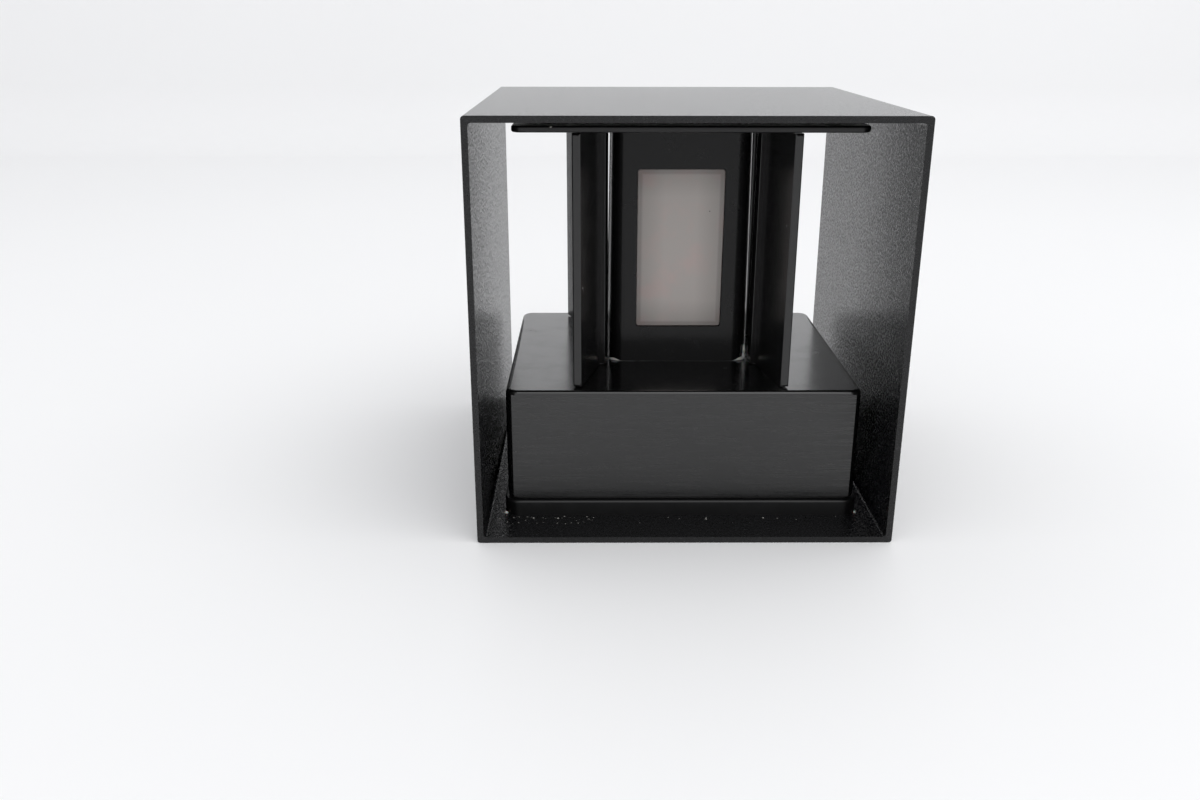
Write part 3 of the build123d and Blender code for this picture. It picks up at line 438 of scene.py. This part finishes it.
def rounded_path(width, length, radius, count):
    """Points round a rounded rectangle, each with its outward direction."""
    straight = (width - 2 * radius, length - 2 * radius)
    arc = math.pi * radius / 2
    total = 2 * sum(straight) + 4 * arc
    stations = []
    for step in range(count):
        left = total * step / count
        turn = 0.0
        corner = Vector((width / 2 - radius, radius - length / 2))
        for side in range(4):
            run = straight[1] if side % 2 == 0 else straight[0]
            outward = Vector((math.cos(turn), math.sin(turn)))
            along = Vector((-outward.y, outward.x))
            if left < run:
                stations.append((corner + outward * radius + along * left, outward))
                break
            left -= run
            corner += along * run
            if left < arc:
                swing = turn + left / radius
                outward = Vector((math.cos(swing), math.sin(swing)))
                stations.append((corner + outward * radius, outward))
                break
            left -= arc
            turn += math.pi / 2
    return stations


def blob(mesh, place, size, seed, subdivisions=2):
    """Lump of uneven shape round a place, with its half sizes."""
    made = bmesh.ops.create_icosphere(mesh, subdivisions=subdivisions, radius=1.0)
    for vertex in made["verts"]:
        uneven = noise.noise(vertex.co * BLOB_DENTS + Vector((seed, 0.0, 0.0)))
        swell = 1.0 + BLOB_UNEVENNESS * uneven
        vertex.co = Vector(place) + Vector([c * s * swell for c, s in zip(vertex.co, size)])


class PieceOperator:
    """What the operators share"""

    bl_options = {"REGISTER"}

    @property
    def settings(self):
        return bpy.context.scene.wall_light


class WALL_LIGHT_OT_shell(PieceOperator, bpy.types.Operator):
    """Coats the square tube"""

    bl_idname = "wall_light.shell"
    bl_label = "Shell"

    def execute(self, context):
        paint = self.settings.paint
        dress(powder_coat("shell powder coat", paint.shell, paint.relief), "outer_shell")
        return {"FINISHED"}


class WALL_LIGHT_OT_base(PieceOperator, bpy.types.Operator):
    """Paints the base plate and finishes the gasket above it"""

    bl_idname = "wall_light.base"
    bl_label = "Base plate and gasket"

    def execute(self, context):
        dress(satin_paint("base paint", self.settings.paint.base, 0.30), "base_plate")
        dress(plain_finish("gasket rubber", (0.012, 0.012, 0.012), 0.75), "housing_gasket", "gland_seal")
        return {"FINISHED"}


class WALL_LIGHT_OT_housing(PieceOperator, bpy.types.Operator):
    """Paints the cast driver housing"""

    bl_idname = "wall_light.housing"
    bl_label = "Driver housing"

    def execute(self, context):
        dress(cast_paint("housing paint", self.settings.paint.cast), "driver_housing")
        return {"FINISHED"}


class WALL_LIGHT_OT_post(PieceOperator, bpy.types.Operator):
    """Paints the lamp post"""

    bl_idname = "wall_light.post"
    bl_label = "Lamp post"

    def execute(self, context):
        paint = self.settings.paint.post
        dress(satin_paint("post paint", paint, 0.16, 4.0, 0.003, index=1.32, eased=True), "led_post")
        return {"FINISHED"}


class WALL_LIGHT_OT_windows(PieceOperator, bpy.types.Operator):
    """Finishes the lamp windows and what is behind them"""

    bl_idname = "wall_light.windows"
    bl_label = "Lamp windows"

    def execute(self, context):
        dress(frosted_pane("frosted pane", self.settings.window), "diffuser_front", "diffuser_rear")
        clear = cloudy_silicone("window seal", (0.66, 0.65, 0.62))
        dress(clear, "diffuser_seal_front", "diffuser_seal_rear")
        mask = plain_finish("lamp board mask", (0.78, 0.78, 0.75), 0.35)
        dress(mask, "led_board_front", "led_board_rear")
        pad = plain_finish("soft grey pad", (0.33, 0.36, 0.43), 0.8)
        dress(pad, "thermal_pad_front", "thermal_pad_rear")
        ceramic = plain_finish("white ceramic", (0.82, 0.81, 0.78), 0.4)
        dress(ceramic, "led_emitter_front", "led_emitter_rear")
        yellow = plain_finish("yellow phosphor", (0.80, 0.57, 0.10), 0.45, 0.15, 0.02)
        dress(yellow, "led_phosphor_front", "led_phosphor_rear")
        return {"FINISHED"}


class WALL_LIGHT_OT_plate(PieceOperator, bpy.types.Operator):
    """Paints the top plate"""

    bl_idname = "wall_light.plate"
    bl_label = "Top plate"

    def execute(self, context):
        dress(satin_paint("plate paint", self.settings.paint.plate, 0.28, index=1.45), "top_plate")
        return {"FINISHED"}


class WALL_LIGHT_OT_flaps(PieceOperator, bpy.types.Operator):
    """Paints the four beam flaps, and finishes their pins and washers"""

    bl_idname = "wall_light.flaps"
    bl_label = "Beam flaps"

    def execute(self, context):
        corners = ("front_left", "front_right", "rear_left", "rear_right")
        paint = satin_paint("flap paint", self.settings.paint.flap, 0.22, index=1.55)
        dress(paint, *("flap_" + corner for corner in corners))
        pin = turned_steel("pin steel", (0.20, 0.20, 0.21), 0.3)
        dress(pin, *("hinge_pin_" + corner for corner in corners))
        washer = plain_finish("washer nylon", (0.03, 0.03, 0.03), 0.5)
        dress(washer, "lower_hinge_washers", "upper_hinge_washers")
        return {"FINISHED"}


class WALL_LIGHT_OT_screws(PieceOperator, bpy.types.Operator):
    """Finishes the screws"""

    bl_idname = "wall_light.screws"
    bl_label = "Screws"

    def execute(self, context):
        bright = turned_steel("zinc plated steel", (0.52, 0.52, 0.53), 0.28)
        dress(bright, "post_screws", "lamp_board_screws", "driver_screws", "terminal_screws")
        dark = turned_steel("blackened steel", (0.045, 0.045, 0.048), 0.35)
        dress(dark, "body_screws", "top_plate_screws")
        return {"FINISHED"}


class WALL_LIGHT_OT_gland(PieceOperator, bpy.types.Operator):
    """Finishes the cable gland and the terminals"""

    bl_idname = "wall_light.gland"
    bl_label = "Cable gland and terminals"

    def execute(self, context):
        dress(plain_finish("gland nylon", (0.030, 0.030, 0.031), 0.45), "gland_body", "gland_nut")
        dress(plain_finish("terminal plastic", (0.76, 0.76, 0.73), 0.4), "terminal_block")
        return {"FINISHED"}


class WALL_LIGHT_OT_driver(PieceOperator, bpy.types.Operator):
    """Finishes the driver board and its parts"""

    bl_idname = "wall_light.driver"
    bl_label = "Driver"

    def execute(self, context):
        dress(plain_finish("green solder mask", (0.03, 0.16, 0.07), 0.35, 0.8, 0.02), "driver_board")
        dress(plain_finish("insulating film", (0.78, 0.76, 0.69), 0.5), "driver_insulator")
        ferrite = plain_finish("sintered ferrite", (0.075, 0.075, 0.08), 0.6)
        dress(ferrite, "transformer_core", "driver_inductor")
        dress(plain_finish("winding tape", (0.72, 0.55, 0.10), 0.4), "transformer_winding")
        dress(plain_finish("capacitor sleeve", (0.02, 0.02, 0.04), 0.25), "driver_capacitors")
        dress(plain_finish("moulded epoxy", (0.025, 0.025, 0.025), 0.55), "driver_rectifier")
        dress(plain_finish("fuse case", (0.08, 0.08, 0.08), 0.3), "driver_fuse")
        red = plain_finish("lead insulation", (0.50, 0.05, 0.04), 0.45)
        dress(red, "led_leads_front", "led_leads_rear", "supply_leads")
        return {"FINISHED"}


class WALL_LIGHT_OT_sealant(PieceOperator, bpy.types.Operator):
    """Lays the uneven sealant round the post, with its lump and the specks that fell beside the base"""

    bl_idname = "wall_light.sealant"
    bl_label = "Sealant"

    STATIONS = 240
    # Unevenness of the bead: waves per metre, coarse and fine
    COARSE_WAVES = 260.0
    FINE_WAVES = 900.0
    # Bead between its swellings, as shares of the usual size: even part, coarse and fine unevenness
    THIN_ACROSS = (0.09, 0.07, 0.04)
    THIN_UP = (0.10, 0.08, -0.03)
    # Swellings of the bead: place in millimetres, extra width and height as factors, and reach
    SWELLINGS = (
        (-16.5, -11.4, 1.3, 1.5, 1.4),
        (16.6, -11.3, 1.4, 1.9, 1.5),
        (18.2, -7.5, 1.2, 2.6, 1.8),
        (16.0, 11.4, 1.2, 1.2, 3.0),
        (-17.6, 9.5, 1.0, 1.5, 2.5),
    )
    # Section of the bead, as shares of its width and height
    SECTION = ((0.0, 1.0), (0.22, 0.92), (0.52, 0.62), (0.80, 0.26), (1.0, 0.0), (0.0, 0.0))
    # Lump on the post and specks beside the base: place and half sizes in millimetres, and seed.
    # The lump stands over the wall face and the specks over the floor of the shell.
    LUMP = (((17.75, -10.6, 36.9), (0.42, 0.8, 1.3), 3.0), ((17.65, -10.8, 35.2), (0.48, 0.9, 0.9), 7.0))
    SPECKS = (((-44.0, -36.8, 0.25), (0.5, 0.3, 0.4), 11.0), ((44.0, -36.6, 0.2), (0.36, 0.3, 0.4), 17.0))

    def bead(self, sealant):
        """Bead round the post, drawn ring by ring."""
        film = cloudy_silicone("silicone film", sealant.colour, HOUSING_TOP)
        mesh = bmesh.new()
        width = POST_HIGH[0] - POST_LOW[0]
        length = POST_HIGH[1] - POST_LOW[1]
        rings = []
        for point, outward in rounded_path(width, length, POST_CORNER, self.STATIONS):
            coarse = noise.noise(Vector((point.x, point.y, 0.0)) * self.COARSE_WAVES)
            fine = noise.noise(Vector((point.x, point.y, 0.5)) * self.FINE_WAVES)
            parts = (1.0, coarse, fine)
            across = sealant.width * sum(share * part for share, part in zip(self.THIN_ACROSS, parts))
            up = sealant.height * sum(share * part for share, part in zip(self.THIN_UP, parts))
            for x, y, wider, taller, reach in self.SWELLINGS:
                near = (point - Vector((x, y)) * MM).length / (reach * MM)
                swell = math.exp(-near * near)
                across += sealant.width * wider * swell
                up += sealant.height * taller * swell
            ring = []
            for out, rise in self.SECTION:
                flat = point + outward * across * out
                ring.append(mesh.verts.new((flat.x, flat.y, HOUSING_TOP + up * rise)))
            rings.append(ring)
        for first, second in zip(rings, rings[1:] + rings[:1]):
            for a in range(len(first)):
                b = (a + 1) % len(first)
                mesh.faces.new((first[a], first[b], second[b], second[a]))
        bead = piece_from(mesh, "sealant_bead", film)
        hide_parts("post_sealant")

    def specks(self, sealant):
        """Lump and specks, as one piece."""
        finish = cloudy_silicone("cloudy silicone", sealant.colour)
        mesh = bmesh.new()
        for level, lumps in ((0.0, self.LUMP), (SHELL_FLOOR, self.SPECKS)):
            for (x, y, z), size, seed in lumps:
                blob(mesh, (x * MM, y * MM, level + z * MM), [half * MM for half in size], seed)
        specks = piece_from(mesh, "sealant_specks", finish)

    def execute(self, context):
        self.bead(self.settings.sealant)
        self.specks(self.settings.sealant)
        return {"FINISHED"}


class WALL_LIGHT_OT_dust(PieceOperator, bpy.types.Operator):
    """Scatters the dust that lies in the shell, and chips the edge of the top plate"""

    bl_idname = "wall_light.dust"
    bl_label = "Dust and chips"

    SEED = 5
    # Flakes in all, how many lie at the left, and how often one is coarse
    FLAKES = 52
    FLAKES_LEFT = 42
    COARSE_EVERY = 6
    # Where the flakes lie and how large they are, in millimetres
    LEFT = (-45.5, -22.0)
    ELSEWHERE = (-12.0, 40.0)
    DEPTH = (-43.0, -38.6)
    FINE_SIZE = (0.06, 0.18)
    COARSE_SIZE = (0.2, 0.34)
    # Width, height and lift of a flake, as shares of its size
    WIDTH = (0.5, 0.9)
    HEIGHT = 0.35
    LIFT = 0.2
    # Chip in the front edge of the top plate: place and half sizes
    CHIP_PLACE = (-31.45 * MM, PLATE_FRONT, 96.5 * MM)
    CHIP_SIZE = (0.28 * MM, 0.08 * MM, 0.2 * MM)

    def execute(self, context):
        finish = plain_finish("pale dust", (0.36, 0.35, 0.33), 0.8)
        draw = random.Random(self.SEED)
        mesh = bmesh.new()
        for index in range(self.FLAKES):
            x = draw.uniform(*(self.LEFT if index < self.FLAKES_LEFT else self.ELSEWHERE))
            y = draw.uniform(*self.DEPTH)
            size = draw.uniform(*(self.FINE_SIZE if index % self.COARSE_EVERY else self.COARSE_SIZE))
            spread = (size * MM, size * draw.uniform(*self.WIDTH) * MM, size * self.HEIGHT * MM)
            blob(mesh, (x * MM, y * MM, SHELL_FLOOR + size * self.LIFT * MM), spread, index * 2.3, 1)
        blob(mesh, self.CHIP_PLACE, self.CHIP_SIZE, 50.0, 1)
        dust = piece_from(mesh, "dust_flakes", finish)
        return {"FINISHED"}


class WALL_LIGHT_OT_stage(PieceOperator, bpy.types.Operator):
    """Builds the floor, the room, the lamp and the camera"""

    bl_idname = "wall_light.stage"
    bl_label = "Studio"

    # Half width of the floor, how far it runs back, radius of its bend, and height of its back
    FLOOR_HALF = 1.6
    FLOOR_END = 0.70
    BEND = 0.06
    BEND_STEPS = 12
    BACK_HEIGHT = 1.2
    LAMP_SIZE = (1.2, 0.9)
    LAMP_PLACE = (0.35, -0.35, 1.0)
    LAMP_AIM = (0.0, 0.0, 0.05)
    NEAREST = 0.01
    FARTHEST = 10.0

    def floor(self, settings):
        """Floor that bends up into a back wall."""
        finish, tree, shader = new_finish("pale floor")
        place = place_on(tree)
        cloud = grain(tree, place, 0.35, 2.0)
        shade = mixed(tree, cloud, lighter(settings.floor, 0.985), lighter(settings.floor, 1.01))
        link(tree, shader, colour=shade)
        link(tree, shader, roughness=ramp(tree, cloud, 0.3, 0.7, 0.5, 0.6))
        shader.inputs["Specular IOR Level"].default_value = 0.2
        profile = [(-self.FLOOR_HALF, 0.0)]
        for step in range(self.BEND_STEPS + 1):
            swing = math.pi / 2 * step / self.BEND_STEPS
            y = self.FLOOR_END + self.BEND * math.sin(swing)
            profile.append((y, self.BEND * (1.0 - math.cos(swing))))
        profile.append((self.FLOOR_END + self.BEND, self.BACK_HEIGHT))
        mesh = bmesh.new()
        rows = []
        for y, z in profile:
            rows.append([mesh.verts.new((x, y, z)) for x in (-self.FLOOR_HALF, 0.0, self.FLOOR_HALF)])
        for first, second in zip(rows, rows[1:]):
            for a in (0, 1):
                mesh.faces.new((first[a], first[a + 1], second[a + 1], second[a]))
        object_from(mesh, "studio_floor", finish)

    def room(self, settings):
        """Pale room all round."""
        world = bpy.data.worlds.new("pale room")
        bpy.context.scene.world = world
        world.use_nodes = True
        tree = world.node_tree
        tree.nodes.clear()
        shade = (*settings.surroundings, 1.0)
        light = node(tree, "ShaderNodeBackground", {"Color": shade, "Strength": 1.0})
        node(tree, "ShaderNodeOutputWorld", {"Surface": light.outputs[0]})

    def lamp(self, settings):
        """Large soft lamp overhead."""
        data = bpy.data.lights.new("soft lamp", "AREA")
        data.shape = "RECTANGLE"
        data.size, data.size_y = self.LAMP_SIZE
        data.energy = settings.lamp_power
        lamp = bpy.data.objects.new("soft lamp", data)
        lamp.location = self.LAMP_PLACE
        way = Vector(self.LAMP_AIM) - Vector(self.LAMP_PLACE)
        lamp.rotation_euler = way.to_track_quat("-Z", "Y").to_euler()
        bpy.context.scene.collection.objects.link(lamp)

    def camera(self):
        """Camera of the photograph."""
        data = bpy.data.cameras.new("camera")
        data.sensor_width = SENSOR_WIDTH
        data.lens = CAMERA_LENS
        data.clip_start = self.NEAREST
        data.clip_end = self.FARTHEST
        camera = bpy.data.objects.new("camera", data)
        level = Matrix.Rotation(math.pi / 2, 4, "X")
        turn = Matrix.Rotation(CAMERA_TURN, 4, "Z")
        tilt = Matrix.Rotation(CAMERA_TILT, 4, "X")
        roll = Matrix.Rotation(CAMERA_ROLL, 4, "Y")
        camera.matrix_world = Matrix.Translation(CAMERA_PLACE) @ turn @ tilt @ roll @ level
        bpy.context.scene.collection.objects.link(camera)
        bpy.context.scene.camera = camera

    def execute(self, context):
        settings = self.settings.stage
        self.floor(settings)
        self.room(settings)
        self.lamp(settings)
        self.camera()
        bpy.context.scene.view_settings.view_transform = "Standard"
        return {"FINISHED"}


class WALL_LIGHT_PT_panel(bpy.types.Panel):
    """Lists the pieces of the wall light and their settings"""

    bl_label = "Wall light"
    bl_idname = "WALL_LIGHT_PT_panel"
    bl_space_type = "VIEW_3D"
    bl_region_type = "UI"
    bl_category = "Wall light"

    def draw(self, context):
        for operator in OPERATORS:
            self.layout.operator(operator.bl_idname)
        settings = context.scene.wall_light
        for group in (settings.paint, settings.window, settings.sealant, settings.stage):
            box = self.layout.box()
            for name in group.bl_rna.properties.keys():
                if name not in ("rna_type", "name"):
                    box.prop(group, name)


GROUPS = (PaintSettings, WindowSettings, SealantSettings, StageSettings, WallLightSettings)
OPERATORS = (
    WALL_LIGHT_OT_stage,
    WALL_LIGHT_OT_shell,
    WALL_LIGHT_OT_base,
    WALL_LIGHT_OT_housing,
    WALL_LIGHT_OT_post,
    WALL_LIGHT_OT_windows,
    WALL_LIGHT_OT_plate,
    WALL_LIGHT_OT_flaps,
    WALL_LIGHT_OT_screws,
    WALL_LIGHT_OT_gland,
    WALL_LIGHT_OT_driver,
    WALL_LIGHT_OT_sealant,
    WALL_LIGHT_OT_dust,
)


def register():
    """Makes the groups, operators and panel known, and the settings of the scene."""
    for group in GROUPS:
        bpy.utils.register_class(group)
    for operator in OPERATORS:
        bpy.utils.register_class(operator)
    bpy.utils.register_class(WALL_LIGHT_PT_panel)
    bpy.types.Scene.wall_light = PointerProperty(type=WallLightSettings)


def unregister():
    """Undoes register."""
    del bpy.types.Scene.wall_light
    bpy.utils.unregister_class(WALL_LIGHT_PT_panel)
    for operator in reversed(OPERATORS):
        bpy.utils.unregister_class(operator)
    for group in reversed(GROUPS):
        bpy.utils.unregister_class(group)


def main():
    """Makes every piece in order."""
    register()
    for operator in OPERATORS:
        getattr(bpy.ops.wall_light, operator.bl_idname.split(".")[1])()
    bpy.context.view_layer.update()


if __name__ == "__main__":
    main()
